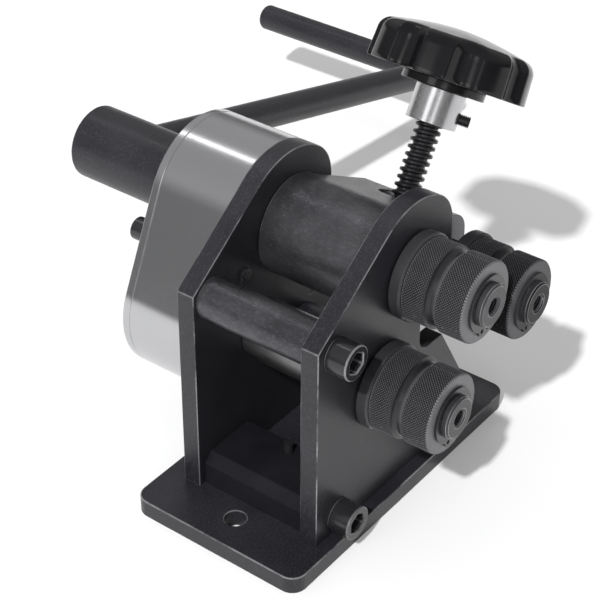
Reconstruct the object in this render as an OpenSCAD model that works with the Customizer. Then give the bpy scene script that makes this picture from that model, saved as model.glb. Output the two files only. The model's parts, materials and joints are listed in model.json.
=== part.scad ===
// Manual roll bender: two geared rollers on side plates and a third roller
// on a swing arm that a hand screw moves. Millimetres, +Z up, +X along the
// base, +Y to the crank side, origin at the middle of the base's underside.

/* [Base plate] */
// Length of the base plate
base_len = 188; // [170:1:210]
// Width of the base plate
base_wid = 102; // [96:1:130]
// Thickness of the base plate
base_thk = 10; // [8:0.5:14]
// Corner radius of the base plate
base_corner_r = 8; // [3:0.5:14]
// Diameter of the two mounting holes
base_hole_d = 11; // [7:0.5:13]
// Distance from each base end to its mounting hole
base_hole_edge = 18; // [14:0.5:20]
// Width of base in front of the front plate
base_front_ledge = 7; // [3:0.5:10]

/* [Side plates] */
// Length of a side plate along the base
plate_len = 137; // [128:1:145]
// Thickness of a side plate
plate_thk = 10; // [8:0.5:12]
// Gap between the two side plates
plate_gap = 63; // [60:0.5:66]
// Radius of the plate's top round the upper shaft
plate_top_r = 39; // [36:0.5:42]
// Radius of the rounded right shoulder
plate_shoulder_r = 25; // [18:0.5:28]
// Right edge of the plate's head, from the upper shaft
plate_head_reach = 32.8; // [31:0.1:34]
// How far the rear plate's head stands out past the front plate's
rear_head_extra = 1; // [0:0.1:1.5]
// Slope of the plate's upper left edge
plate_slope = 35; // [28:0.5:40]
// Height of the recess shelf above the base
shelf_z = 67.7; // [62:0.1:72]
// Distance from the upper shaft to the recess lip
lip_reach = 29.4; // [26:0.1:32]
// Height of the short upright edge at the right end
plate_toe = 11; // [6:0.5:20]
// Depth of the front recess, from the upper shaft
recess_reach = 9; // [7:0.5:11]
// Top of the front recess, below the upper shaft
recess_top_drop = 4.5; // [2:0.5:8]
// Upper end of the recess wall, below the upper shaft
recess_wall_drop = 28.5; // [26:0.5:32]
// Radius in the recess corner
recess_corner_r = 8; // [4:0.5:10]
// Offset of the rear recess from the line of shafts
rear_recess_offset = 36.5; // [35.5:0.1:38]

/* [Shafts] */
// Height of the upper shaft above the base top
shaft_height = 120.5; // [116:0.5:124]
// Upper shaft, distance to the right of the middle
shaft_x = 6; // [2:0.5:10]
// Direction from the upper to the lower shaft
pair_angle = -114.8; // [-118:0.1:-112]
// Diameter of the roller shafts
shaft_d = 22; // [20:0.5:23]
// Shaft length in front of the rollers
shaft_proud = 5; // [4:0.5:8]
// Diameter of the hole in each shaft end
end_hole_d = 9; // [6:0.5:10]
// Depth of the hole in each shaft end
end_hole_depth = 22; // [12:1:28]
// Chamfer on a shaft end
shaft_chamfer = 1; // [0.5:0.1:1.5]
// Outer diameter of the shaft bushes
bush_d = 30; // [28:0.5:32]
// Outer diameter of the lower spacer tube
spacer_d = 32; // [28:0.5:36]

/* [Rollers] */
// Diameter of the plain rear flange
flange_d = 45; // [43:0.5:46]
// Width of the rear flange
flange_w = 6.8; // [5:0.1:8]
// Diameter of the knurled ring
ring_d = 42; // [40:0.5:43]
// Width of the knurled part of the ring
ring_w = 12.3; // [10:0.1:14]
// Width of the groove between ring and disc
groove_w = 5.1; // [4:0.1:6]
// Depth of the groove
groove_depth = 2.6; // [1.5:0.1:3]
// Diameter of the front disc
disc_d = 41.4; // [40:0.2:43]
// Width of the front disc
disc_w = 15.3; // [13:0.1:18]
// Chamfer on the roller edges
roller_chamfer = 0.8; // [0.4:0.1:1.2]
// Third roller, distance from the upper shaft
third_reach = 48.3; // [47.5:0.1:50]
// Third roller, direction from the upper shaft
third_angle = -27.7; // [-30:0.1:-25]
// Wall of the third roller's bush
idle_bush_wall = 2; // [1.5:0.1:3]

/* [Gears] */
// Gear module
gear_module = 2; // [2:0.01:2.04]
// Number of teeth on each gear
gear_teeth = 28; // [28:2:28]
// Pressure angle
pressure_angle = 20; // [18:0.5:22]
// Play cut from each tooth
backlash = 0.2; // [0.15:0.01:0.3]
// Face width of the gears
gear_w = 25; // [20:0.5:26]
// Hub diameter of the gears
gear_hub_d = 36; // [32:1:40]

/* [Gear housing] */
// Outer radius of the housing ends
housing_r = 40; // [38.5:0.1:43]
// Room between the gear tips and the housing
gear_room = 2.6; // [2:0.1:4]
// Depth of the housing with its cover
housing_depth = 47.25; // [43:0.25:50]
// Thickness of the housing cover
cover_thk = 4.5; // [3:0.5:6]
// Length of the bearing bosses inside the cover
cover_boss_len = 10; // [8:0.5:11]
// Diameter of the bearing bosses
cover_boss_d = 39; // [36:0.5:42]
// Diameter of the housing screws
housing_screw_d = 8; // [6:0.5:8]
// Housing screws, distance from the line of shafts
housing_screw_off = 27.6; // [26:0.1:29]
// Housing screws, distance down from the upper shaft
housing_screw_down = 26.2; // [24:0.1:30]
// Diameter of the screw bosses
screw_boss_d = 14; // [12:0.5:15]
// Screw tip standing out of the rear plate
screw_tip = 1.5; // [0.5:0.5:2]

/* [Swing arm] */
// Diameter of the arm's hub
arm_hub_d = 52.6; // [48:0.2:56]
// Diameter of the arm's end round the third roller
arm_end_d = 39.4; // [36:0.2:41]
// Diameter of the arm's upper corner
arm_corner_d = 25.5; // [20:0.5:28]
// Upper corner, distance right of the upper shaft
arm_corner_x = 49.5; // [46:0.5:52]
// Upper corner, distance below the upper shaft
arm_corner_drop = 11; // [9:0.5:13]
// Step between the hub's and the cheek's rear face
arm_rear_step = 4; // [2:0.5:6]
// Width of the fork between the cheeks
fork_w = 15.6; // [14.5:0.1:17]
// Closed end of the fork, from the upper shaft
fork_end = 24.5; // [23:0.1:26]
// Length of the arm's bushes
arm_bush_len = 20; // [14:0.5:26]
// Third stud's length inside the front cheek
stud_seat_len = 15; // [12:0.5:16]
// Diameter of the third stud's collar
stud_collar_d = 28; // [26:0.5:30]

/* [Screw spindle] */
// Tilt of the spindle from upright
spindle_tilt = 31.8; // [30:0.1:34]
// Distance from the upper shaft to the spindle's axis
spindle_offset = 44.55; // [43.5:0.05:46]
// Major diameter of the spindle's thread
spindle_d = 14; // [12:0.5:14]
// Nut at rest, along the spindle from its nearest point
nut_rest = 16; // [14:0.5:18]
// Diameter of the round nut
nut_d = 22; // [21:0.5:24]
// Diameter of the nut's pins
nut_pin_d = 10; // [8:0.5:11]
// Length of each nut pin in its guide
nut_pin_len = 5.2; // [4:0.1:5.5]
// Least play of a nut pin in its guide
guide_play = 0.5; // [0.5:0.05:0.8]
// Depth of the guides in the cheeks
guide_depth = 6; // [5.6:0.1:6.4]
// Anchor bar, below the spindle's nearest point
anchor_drop = 52; // [50:0.5:54]
// Diameter of the anchor bar
anchor_d = 24; // [22:0.5:25]
// Width across the anchor bar's flats
anchor_flat = 18; // [15:0.5:20]
// Diameter of the spindle's lower journal
journal_d = 10; // [8:0.5:11]
// Depth of the anchor bar's seats in the plates
anchor_seat = 6; // [4:0.5:7]
// Diameter of the anchor bar's ends
anchor_end_d = 16; // [12:0.5:18]

/* [Hand knob] */
// Height of the knob's rim above the nearest point
knob_z = 89.5; // [84:0.5:96]
// Diameter over the knob's lobes
knob_d = 83; // [70:1:90]
// Number of lobes
knob_lobes = 8; // [6:1:9]
// Height of the knob at its rim
knob_rim_h = 20; // [16:0.5:24]
// Height of the knob's crown
knob_crown_h = 26; // [24:0.5:30]
// Radius of the flutes between the lobes
flute_r = 9; // [5:0.5:10]
// Depth of the flutes
flute_depth = 4.5; // [3:0.5:5]
// Turn of the lobes about the spindle
knob_turn = 38; // [0:1:45]
// Wall of the hollow knob at its flutes
knob_wall = 4; // [3:0.5:5]
// Depth of the hollow below the knob
knob_hollow = 12; // [8:0.5:14]
// Diameter of the hub inside the knob
knob_hub_d = 30; // [24:1:34]
// Diameter of the flange below the knob
knob_flange_d = 43.5; // [38:0.5:48]
// Thickness of the flange below the knob
knob_flange_thk = 4.5; // [3:0.5:6]
// Diameter of the clamping collar
collar_d = 26; // [22:0.5:30]
// Length of the clamping collar
collar_len = 18; // [14:0.5:20]
// Diameter of the collar's grub screw
grub_d = 6; // [4:0.5:8]
// Grub screw standing out of the collar
grub_proud = 5.5; // [2:0.5:6]
// Direction of the grub screw about the spindle
grub_turn = -60; // [-90:1:90]

/* [Crank] */
// Diameter of the crank's hub
crank_hub_d = 39.4; // [36:0.2:44]
// Length of the crank's hub
crank_hub_len = 72; // [68:0.5:84]
// Distance from the hub's rear end to the arm's axis
crank_arm_back = 17; // [14:0.5:20]
// Diameter of the crank arm
crank_arm_d = 17.5; // [15:0.5:19]
// Distance from the upper shaft to the handle's axis
crank_reach = 307.5; // [250:0.5:330]
// Arm length past the handle's axis
crank_arm_past = 10; // [9.5:0.5:14]
// Direction of the crank arm at rest
crank_angle = -14.8; // [-40:0.1:60]
// Diameter of the handle
handle_d = 17; // [15:0.5:18]
// Handle length behind the arm's axis
handle_len = 138; // [110:1:150]
// Diameter of the handle's stem in the arm
handle_stem_d = 10; // [8:0.5:12]

/* [Tie pieces] */
// Diameter of the upper tie rod
tie_d = 22; // [20:0.5:24]
// Upper tie rod, distance from the plates' left edge
tie_in = 12.8; // [12:0.1:15]
// Height of the upper tie rod above the base top
tie_z = 109.6; // [100:0.1:112]
// Height of the lower tie block
block_h = 18; // [17:0.5:22]
// Length of the lower tie block
block_len = 34.5; // [30:0.5:40]
// Left edge of the block, from the plates' left edge
block_in = 4; // [2:0.5:6]
// Chamfer along the block's upper left edge
block_chamfer = 5; // [3:0.5:6]
// Lower tie screws, distance from the block's left edge
block_screw_in = 13.5; // [12:0.5:15]
// Height of the lower tie screws above the base top
block_screw_z = 9.5; // [9.2:0.1:10]

/* [Fasteners] */
// Diameter of the tie screws
tie_screw_d = 12; // [10:0.5:12]
// Diameter of the flush screws in the rear plate
rear_screw_d = 8; // [6:0.5:8]
// Thread length of the tie screws in the tie pieces
tie_screw_grip = 20; // [14:0.5:25]
// Diameter of the screws under the base
base_screw_d = 6; // [5:0.5:7]
// Length of the screws under the base
base_screw_len = 22; // [18:0.5:26]
// Right pair of base screws, from the upper shaft
base_screw_right = 46; // [40:1:52]
// Left pair of base screws, from the upper shaft
base_screw_left = 34; // [25:1:45]
// Diameter of the screw that stands out of the block
stand_screw_d = 5; // [4:0.5:6]
// Height of that screw above the block
stand_screw_proud = 6; // [3:0.5:8]
// Diameter of the crank hub's set screws
set_screw_d = 8; // [6:0.5:8]
// Width of the keys
key_w = 6; // [5:0.5:7]
// Height of the keys
key_h = 6; // [5:0.5:6.5]
// Depth of the key seats in the shafts
key_seat = 3.5; // [2.5:0.1:4]

/* [Retaining rings] */
// Thickness of the roller retaining rings
clip_thk = 1.5; // [1:0.1:2]
// Outer diameter of the roller retaining rings
clip_d = 29.2; // [28.4:0.2:30]
// Depth of the ring grooves
clip_groove = 0.8; // [0.5:0.1:1]

/* [Fits] */
// Radial clearance of turning and sliding pieces
run_clr = 0.05; // [0.03:0.01:0.08]
// Radial clearance of pressed and keyed pieces
seat_clr = 0.02; // [0.01:0.01:0.04]
// Side clearance of turning pieces
side_clr = 0.5; // [0.3:0.1:0.6]
// Radial clearance of screws in their holes
screw_clr = 0.5; // [0.3:0.1:0.8]

/* [Hidden] */
$fn = 96;

// Places across the machine, from the front to the back
front_y = -base_wid / 2 + base_front_ledge;
gap_y0 = front_y + plate_thk;
gap_y1 = gap_y0 + plate_gap;
back_y = gap_y1 + plate_thk;
mid_y = (gap_y0 + gap_y1) / 2;
cover_y = back_y + housing_depth - cover_thk;
housing_end = back_y + housing_depth;
flange_y = front_y - side_clr;
ring_y = flange_y - flange_w;
groove_y = ring_y - ring_w;
disc_y = groove_y - groove_w;
face_y = disc_y - disc_w;
shaft_front = face_y - shaft_proud;
gear_y = back_y + side_clr;
boss_y = cover_y - cover_boss_len;

// Shaft centres in the plane of the plates
upper = [shaft_x, base_thk + shaft_height];
centre_dist = gear_module * gear_teeth;
down = [cos(pair_angle), sin(pair_angle)];
left = [down.y, -down.x];
lower = upper + centre_dist * down;
third = upper + third_reach * [cos(third_angle), sin(third_angle)];
plate_x0 = -plate_len / 2;
plate_x1 = plate_len / 2;
slope_z = upper.y + (plate_top_r + sin(plate_slope) * (plate_x0 - upper.x)) / cos(plate_slope);
shaft_r = shaft_d / 2;
bush_bore = shaft_d + 2 * run_clr;
seat_bore = shaft_d + 2 * seat_clr;

// Gears and keys
pitch_r = centre_dist / 2;
base_r = pitch_r * cos(pressure_angle);
tip_r = pitch_r + gear_module;
root_r = pitch_r - 1.25 * gear_module;
roller_key_y = face_y + 3;
roller_key_len = flange_y - face_y - 5;
gear_key_y = gear_y + 3;
gear_key_len = gear_w - 4;

// Tie pieces and screws
tie_at = [plate_x0 + tie_in, base_thk + tie_z];
block_x0 = plate_x0 + block_in;
block_screw_at = [block_x0 + block_screw_in, base_thk + block_screw_z];
screw_head_d = 1.5 * tie_screw_d;
base_screw_xs = [shaft_x - base_screw_left, shaft_x + base_screw_right];
base_screw_ys = [front_y + plate_thk / 2, back_y - plate_thk / 2];
stand_screw_x = block_x0 + block_len - 6.4;
housing_screw_at = [for (side = [1, -1])
    upper + housing_screw_down * down + side * housing_screw_off * left];
washer_thk = 1.6;
split_washer_thk = 2.2;
cover_blind_wall = 2;
housing_head_y = housing_end + washer_thk + split_washer_thk;

// Swing arm
arm_front = gap_y0 + side_clr;
arm_back = gap_y1 - side_clr;
cheek_back = arm_back - arm_rear_step;
arm_corner = upper + [arm_corner_x, -arm_corner_drop];
idle_bush_d = shaft_d + 2 * run_clr + 2 * idle_bush_wall;
idle_bore = idle_bush_d + 2 * seat_clr;
arm_cut_len = third_reach + arm_end_d;

// Spindle: x runs away from the upper shaft and z runs up along the spindle
knob_flange_z = knob_z - knob_flange_thk;
collar_z = knob_flange_z - collar_len;
thrust_washer_thk = 1.5;
spindle_seat_z = -anchor_drop + anchor_flat / 2 + thrust_washer_thk;
spindle_ring_thk = 1;
spindle_ring_z = -anchor_drop - anchor_flat / 2 - 0.1;
stem_d = 12;
stem_top = knob_z + knob_crown_h - knob_wall - 4;
grub_z = collar_z + collar_len * 0.36;
nut_angle = atan2(nut_rest, spindle_offset) - spindle_tilt;

// Crank
crank_hub_y = housing_end + side_clr;
crank_end_y = crank_hub_y + crank_hub_len;
crank_arm_y = crank_end_y - crank_arm_back;
crank_arm_seat = 14;
shaft_back = crank_arm_y - crank_arm_d / 2 - 4;
handle_flat = 1;

// A flat shape in the plane of the plates, drawn out along Y from y0
module along_y(y0, len) {
    translate([0, y0 + len, 0]) rotate([90, 0, 0]) linear_extrude(len) children();
}

// A round bar or bore along Y
module rod_y(at, y0, len, d) {
    translate([at.x, y0, at.y]) rotate([-90, 0, 0]) cylinder(h = len, d = d);
}

// A turned shape about a shaft, whose outline holds [radius, Y] points
module turned(at) {
    translate([at.x, 0, at.y]) rotate([-90, 0, 0]) rotate_extrude() children();
}

// Two round ends along Y and the flat sides that touch both. The sides lie a hair
// inside the round ends' tangents, so that they meet them in clean edges.
module link_y(y0, len, p1, r1, p2, r2) {
    hair = 0.001;
    d = p2 - p1;
    heading = atan2(d.y, d.x);
    spread = acos((r1 - r2) / norm(d));
    sides = [[cos(heading + spread), sin(heading + spread)],
        [cos(heading - spread), sin(heading - spread)]];
    rod_y(p1, y0, len, 2 * r1);
    rod_y(p2, y0, len, 2 * r2);
    along_y(y0, len) polygon([p1 + (r1 - hair) * sides[0], p2 + (r2 - hair) * sides[0], p2,
        p2 + (r2 - hair) * sides[1], p1 + (r1 - hair) * sides[1], p1]);
}

// A rectangle with round corners
module round_rect(w, h, r) {
    square([w - 2 * r, h], center = true);
    square([w, h - 2 * r], center = true);
    for (sx = [-1, 1], sy = [-1, 1])
        translate([sx * (w / 2 - r), sy * (h / 2 - r)]) circle(r);
}

// Countersunk screw, head down at z = 0
module flat_head_screw(d, len) {
    cylinder(h = d * 0.55, d1 = 2 * d, d2 = d);
    cylinder(h = len, d = d);
}

// Socket head screw along Y: the head lies in front of y, the shank behind it
module cap_screw(at, y, d, len) {
    difference() {
        union() {
            rod_y(at, y - d, d, 1.5 * d);
            rod_y(at, y, len, d);
        }
        translate([at.x, y - d - 1, at.y]) rotate([-90, 30, 0])
            cylinder(h = d / 2 + 1, d = d * 0.96, $fn = 6);
    }
}

// Key seat or key on top of a shaft
module key_box(at, y0, len, low, high, w) {
    translate([at.x - w / 2, y0, at.y + low]) cube([w, len, high - low]);
}

module key(at, y0, len) {
    key_box(at, y0, len, shaft_r - key_seat, shaft_r - key_seat + key_h, key_w);
}

// The room that a key needs in a shaft and in the piece on the shaft
module key_room(at, y0, len) {
    key_box(at, y0 - 0.1, len + 0.2, shaft_r - key_seat - seat_clr,
        shaft_r - key_seat + key_h + 0.1, key_w + 2 * seat_clr);
}

// Bored disc with chamfered rims
module wheel_outline(r, bore, y0, y1, chamfer) {
    polygon([[bore / 2, y0], [r - chamfer, y0], [r, y0 + chamfer], [r, y1 - chamfer],
        [r - chamfer, y1], [bore / 2, y1]]);
}

// Base plate
module base_plate() {
    color("#26272b") difference() {
        linear_extrude(base_thk) round_rect(base_len, base_wid, base_corner_r);
        for (side = [-1, 1])
            translate([side * (base_len / 2 - base_hole_edge), 0, -1])
                cylinder(h = base_thk + 2, d = base_hole_d);
        for (x = base_screw_xs, y = base_screw_ys)
            translate([x, y, 0]) screw_sink(base_screw_d);
        translate([stand_screw_x, mid_y, 0]) screw_sink(stand_screw_d);
    }
}

// Countersunk hole through the base
module screw_sink(d) {
    translate([0, 0, -0.01])
        cylinder(h = d * 0.55 + screw_clr, d1 = 2 * (d + screw_clr), d2 = d + screw_clr);
    translate([0, 0, -1]) cylinder(h = base_thk + 2, d = d + 2 * screw_clr);
}

// Side plate with a round head, and the recess on its right side cut to a given shape.
// Its slope starts at the same place on the left edge, however large the head is.
module plate_blank(y0, extra, recess) {
    top_r = plate_top_r + extra;
    to_head = upper - [plate_x0, slope_z];
    slope = atan2(to_head.y, to_head.x) + asin(top_r / norm(to_head));
    tangent = upper + top_r * [-sin(slope), cos(slope)];
    head_x = upper.x + plate_head_reach + extra;
    shoulder_dx = plate_head_reach + extra - plate_shoulder_r;
    shoulder_gap = top_r - plate_shoulder_r;
    shoulder_dz = sqrt(shoulder_gap * shoulder_gap - shoulder_dx * shoulder_dx);
    shoulder = upper + [shoulder_dx, shoulder_dz];
    lip = [upper.x + lip_reach, base_thk + shelf_z];
    difference() {
        union() {
            intersection() {
                rod_y(upper, y0, plate_thk, 2 * top_r);
                along_y(y0, plate_thk) polygon([[plate_x0, upper.y - top_r],
                    [plate_x0, slope_z], tangent, tangent + [0, top_r],
                    upper + (top_r + 10) * [shoulder_dx, shoulder_dz] / shoulder_gap,
                    upper]);
            }
            rod_y(shoulder, y0, plate_thk, 2 * plate_shoulder_r);
            along_y(y0, plate_thk) polygon([[plate_x0, base_thk], [plate_x0, slope_z],
                tangent, upper, shoulder, [head_x, shoulder.y], [head_x, lip.y], lip,
                [plate_x1, base_thk + plate_toe], [plate_x1, base_thk]]);
        }
        along_y(y0 - 1, plate_thk + 2) polygon(recess);
    }
}

// Holes that both side plates have
module plate_holes(y0, screw_d) {
    for (at = [upper, lower]) rod_y(at, y0 - 1, plate_thk + 2, bush_d + 2 * seat_clr);
    for (at = [tie_at, block_screw_at])
        rod_y(at, y0 - 1, plate_thk + 2, screw_d + 2 * screw_clr);
    for (x = base_screw_xs)
        translate([x, y0 + plate_thk / 2, base_thk - 1])
            cylinder(h = base_screw_len - base_thk + 2, d = base_screw_d + 2 * seat_clr);
}

// Seat of the anchor bar in a plate
module anchor_socket(y0) {
    at = spindle_point(-anchor_drop);
    rod_y(at, y0, anchor_seat + 0.2, anchor_end_d + 2 * seat_clr);
}

// A point on the spindle's axis, in the plane of the plates
function spindle_point(z) = upper
    + spindle_offset * [cos(spindle_tilt), -sin(spindle_tilt)]
    + z * [sin(spindle_tilt), cos(spindle_tilt)];

// Front plate
module front_plate() {
    wall_x = upper.x + recess_reach;
    shelf = base_thk + shelf_z;
    far = plate_x1;
    r = recess_corner_r;
    corner = [for (a = [180:15:270]) [wall_x + r, shelf + r] + r * [cos(a), sin(a)]];
    color("#232428") difference() {
        plate_blank(front_y, 0, concat([[far, upper.y - recess_top_drop],
            [upper.x + plate_head_reach, upper.y - recess_top_drop],
            [wall_x, upper.y - recess_wall_drop]], corner,
            [[upper.x + lip_reach, shelf], [far, shelf]]));
        plate_holes(front_y, tie_screw_d);
        anchor_socket(gap_y0 - anchor_seat - 0.2);
    }
}

// Rear plate, which closes the gear housing's front
module rear_plate() {
    edge = upper - rear_recess_offset * left;
    shelf = base_thk + shelf_z;
    foot = edge + down * (edge.y - shelf) / -down.y;
    color("#232428") difference() {
        plate_blank(gap_y1, rear_head_extra,
            [[plate_x1, edge.y], edge, foot, [plate_x1, shelf]]);
        plate_holes(gap_y1, rear_screw_d);
        for (at = [tie_at, block_screw_at])
            translate([at.x, back_y + 0.01, at.y]) rotate([90, 0, 0])
                cylinder(h = rear_screw_d * 0.55 + screw_clr,
                    d1 = 2 * (rear_screw_d + screw_clr), d2 = rear_screw_d + screw_clr);
        for (at = housing_screw_at)
            rod_y(at, gap_y1 - 1, plate_thk + 2, housing_screw_d + 2 * seat_clr);
        anchor_socket(gap_y1);
    }
}

// Upper tie rod between the plates
module upper_tie_rod() {
    color("#2b2c31") difference() {
        rod_y(tie_at, gap_y0, plate_gap, tie_d);
        rod_y(tie_at, gap_y0 - 1, tie_screw_grip + 3, tie_screw_d + 2 * seat_clr);
        rod_y(tie_at, gap_y1 - tie_screw_grip - 2, tie_screw_grip + 3,
            rear_screw_d + 2 * seat_clr);
    }
}

// Lower tie block between the plates
module lower_tie_block() {
    x1 = block_x0 + block_len;
    top = base_thk + block_h;
    color("#1d1e22") difference() {
        along_y(gap_y0, plate_gap) polygon([[block_x0, base_thk],
            [block_x0, top - block_chamfer], [block_x0 + block_chamfer, top],
            [x1, top], [x1, base_thk]]);
        rod_y(block_screw_at, gap_y0 - 1, tie_screw_grip + 3, tie_screw_d + 2 * seat_clr);
        rod_y(block_screw_at, gap_y1 - tie_screw_grip - 2, tie_screw_grip + 3,
            rear_screw_d + 2 * seat_clr);
        translate([stand_screw_x, mid_y, base_thk - 1])
            cylinder(h = block_h + 2, d = stand_screw_d + 2 * seat_clr);
    }
}

// Socket head screws through the front plate into the tie pieces
module front_tie_screws() {
    for (at = [tie_at, block_screw_at])
        color("#1c1d20") cap_screw(at, front_y, tie_screw_d, plate_thk + tie_screw_grip);
}

// Flush screws through the rear plate into the tie pieces
module rear_tie_screws() {
    for (at = [tie_at, block_screw_at])
        color("#1c1d20") translate([at.x, back_y, at.y]) rotate([90, 0, 0])
            flat_head_screw(rear_screw_d, plate_thk + tie_screw_grip);
}

// Flush screws under the base that hold the plates
module base_screws() {
    for (x = base_screw_xs, y = base_screw_ys)
        color("#1c1d20") translate([x, y, 0]) flat_head_screw(base_screw_d, base_screw_len);
}

// Flush screw from under the base, whose tip stands out of the block
module block_screw() {
    color("#1c1d20") translate([stand_screw_x, mid_y, 0])
        flat_head_screw(stand_screw_d, base_thk + block_h + stand_screw_proud);
}

// A plain bush
module bush(at, y0, len, d, bore) {
    turned(at) polygon([[bore / 2, y0], [d / 2, y0], [d / 2, y0 + len], [bore / 2, y0 + len]]);
}

// Bushes in the front plate
module front_bushes() {
    for (at = [upper, lower]) color("#a9824a") bush(at, front_y, plate_thk, bush_d, bush_bore);
}

// Bushes in the rear plate
module rear_bushes() {
    for (at = [upper, lower]) color("#a9824a") bush(at, gap_y1, plate_thk, bush_d, bush_bore);
}

// Bushes in the cover's bosses: one goes through, one stops short of the outside
module cover_bushes() {
    color("#a9824a") bush(upper, boss_y, housing_end - boss_y, bush_d, bush_bore);
    color("#a9824a") bush(lower, boss_y, housing_end - cover_blind_wall - boss_y,
        bush_d, bush_bore);
}

// Gear housing: a long ring with two screw bosses inside
module gear_housing() {
    inner_r = tip_r + gear_room;
    depth = cover_y - back_y;
    color("#b9bbbe") difference() {
        link_y(back_y, depth, upper, housing_r, lower, housing_r);
        difference() {
            link_y(back_y - 1, depth + 2, upper, inner_r, lower, inner_r);
            for (i = [0, 1]) {
                at = housing_screw_at[i];
                out = (1 - 2 * i) * left;
                rod_y(at, back_y - 2, depth + 4, screw_boss_d);
                along_y(back_y - 2, depth + 4) translate(at) rotate(atan2(out.y, out.x))
                    translate([0, -screw_boss_d / 2]) square([screw_boss_d, screw_boss_d]);
            }
        }
        for (at = housing_screw_at)
            rod_y(at, back_y - 1, housing_depth + 2, housing_screw_d + 2 * screw_clr);
    }
}

// Cover of the gear housing with the rear bearing bosses
module housing_cover() {
    color("#a7a9ad") difference() {
        union() {
            link_y(cover_y, cover_thk, upper, housing_r, lower, housing_r);
            for (at = [upper, lower]) rod_y(at, boss_y, cover_boss_len + 1, cover_boss_d);
        }
        rod_y(upper, boss_y - 1, cover_boss_len + cover_thk + 2, bush_d + 2 * seat_clr);
        rod_y(lower, boss_y - 1, cover_boss_len + cover_thk + 1 - cover_blind_wall,
            bush_d + 2 * seat_clr);
        for (at = housing_screw_at)
            rod_y(at, boss_y, cover_boss_len + cover_thk + 2, housing_screw_d + 2 * screw_clr);
    }
}

// Long screws through cover and housing into the rear plate
module housing_screws() {
    for (at = housing_screw_at)
        color("#1c1d20") translate([0, 2 * housing_head_y, 0]) mirror([0, 1, 0])
            cap_screw(at, housing_head_y, housing_screw_d,
                housing_head_y - gap_y1 + screw_tip);
}

// Flat and split washers under the housing screws
module housing_washers() {
    for (at = housing_screw_at) {
        color("#3a3b3f") bush(at, housing_end, washer_thk, 2 * housing_screw_d,
            housing_screw_d + 2 * screw_clr);
        color("#3a3b3f") bush(at, housing_end + washer_thk, split_washer_thk,
            1.6 * housing_screw_d, housing_screw_d + 2 * screw_clr);
    }
}

// Places children in the spindle's frame, with z up along the spindle
module on_spindle(z) {
    at = spindle_point(z);
    translate([at.x, mid_y, at.y]) rotate([0, spindle_tilt, 0]) children();
}

// Fixed bar across the plates that holds the spindle's lower end
module anchor_bar() {
    at = spindle_point(-anchor_drop);
    color("#2b2c31") difference() {
        union() {
            rod_y(at, gap_y0, plate_gap, anchor_d);
            rod_y(at, gap_y0 - anchor_seat, plate_gap + 2 * anchor_seat, anchor_end_d);
        }
        on_spindle(-anchor_drop) {
            for (side = [0, 1]) mirror([0, 0, side])
                translate([-anchor_d, -anchor_d / 2 - 1, anchor_flat / 2])
                    cube([2 * anchor_d, anchor_d + 2, anchor_d]);
            translate([0, 0, -anchor_d]) cylinder(h = 2 * anchor_d, d = journal_d + 2 * run_clr);
        }
    }
}

// Shaft outline with a chamfered front end and a ring groove, as [radius, Y] points
module shaft_outline(y_back) {
    c = shaft_chamfer;
    r = shaft_r;
    polygon([[0, shaft_front], [r - c, shaft_front], [r, shaft_front + c],
        [r, face_y - clip_thk - 0.1], [r - clip_groove, face_y - clip_thk - 0.1],
        [r - clip_groove, face_y], [r, face_y], [r, y_back - c], [r - c, y_back], [0, y_back]]);
}

// Centre hole in a shaft's front end
module end_hole(at) {
    rod_y(at, shaft_front - 1, end_hole_depth + 1, end_hole_d);
    translate([at.x, shaft_front - 0.01, at.y]) rotate([-90, 0, 0])
        cylinder(h = 0.75, d1 = end_hole_d + 1.5, d2 = end_hole_d);
}

// Upper shaft, which the crank turns
module drive_shaft() {
    color("#45464b") difference() {
        turned(upper) shaft_outline(shaft_back);
        end_hole(upper);
        key_room(upper, roller_key_y, roller_key_len);
        key_room(upper, gear_key_y, gear_key_len);
    }
}

// Lower shaft, which the gears turn
module driven_shaft() {
    color("#45464b") difference() {
        turned(lower) shaft_outline(housing_end - cover_blind_wall - side_clr);
        end_hole(lower);
        key_room(lower, roller_key_y, roller_key_len);
        key_room(lower, gear_key_y, gear_key_len);
    }
}

// Involute gear outline: one tooth points along angle 0
function involute(a) = tan(a) * 180 / PI - a;
function half_tooth(r) = 90 / gear_teeth - backlash / 2 / pitch_r * 180 / PI
    + involute(pressure_angle) - involute(acos(min(1, base_r / r)));
function polar(r, a) = r * [cos(a), sin(a)];

module gear_outline() {
    steps = 5;
    flank = [for (i = [0:steps]) base_r + (tip_r - base_r) * i / steps];
    polygon([for (t = [0:gear_teeth - 1]) let (a = t * 360 / gear_teeth) each concat(
        [polar(root_r, a - half_tooth(base_r))],
        [for (i = [0:steps]) polar(flank[i], a - half_tooth(flank[i]))],
        [for (i = [steps:-1:0]) polar(flank[i], a + half_tooth(flank[i]))],
        [polar(root_r, a + half_tooth(base_r))])]);
}

// Gear on a shaft, its teeth turned to a given angle
module gear(at, turn) {
    difference() {
        union() {
            along_y(gear_y, gear_w) translate(at) rotate(turn) gear_outline();
            rod_y(at, gear_y, boss_y - side_clr - gear_y, gear_hub_d);
        }
        rod_y(at, gear_y - 1, boss_y - gear_y + 2, seat_bore);
        key_room(at, gear_key_y, gear_key_len);
        key_box(at, gear_y - 1, gear_key_y - gear_y + 2, 0, shaft_r - key_seat + key_h + 0.1,
            key_w + 2 * seat_clr);
    }
}

module drive_gear() {
    color("#6b6c70") gear(upper, pair_angle);
}

module driven_gear() {
    color("#6b6c70") gear(lower, pair_angle + 180 + 180 / gear_teeth);
}

module drive_gear_key() {
    color("#8a8b8f") key(upper, gear_key_y, gear_key_len);
}

module driven_gear_key() {
    color("#8a8b8f") key(lower, gear_key_y, gear_key_len);
}

module roller_a_key() {
    color("#8a8b8f") key(upper, roller_key_y, roller_key_len);
}

module roller_b_key() {
    color("#8a8b8f") key(lower, roller_key_y, roller_key_len);
}

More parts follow.
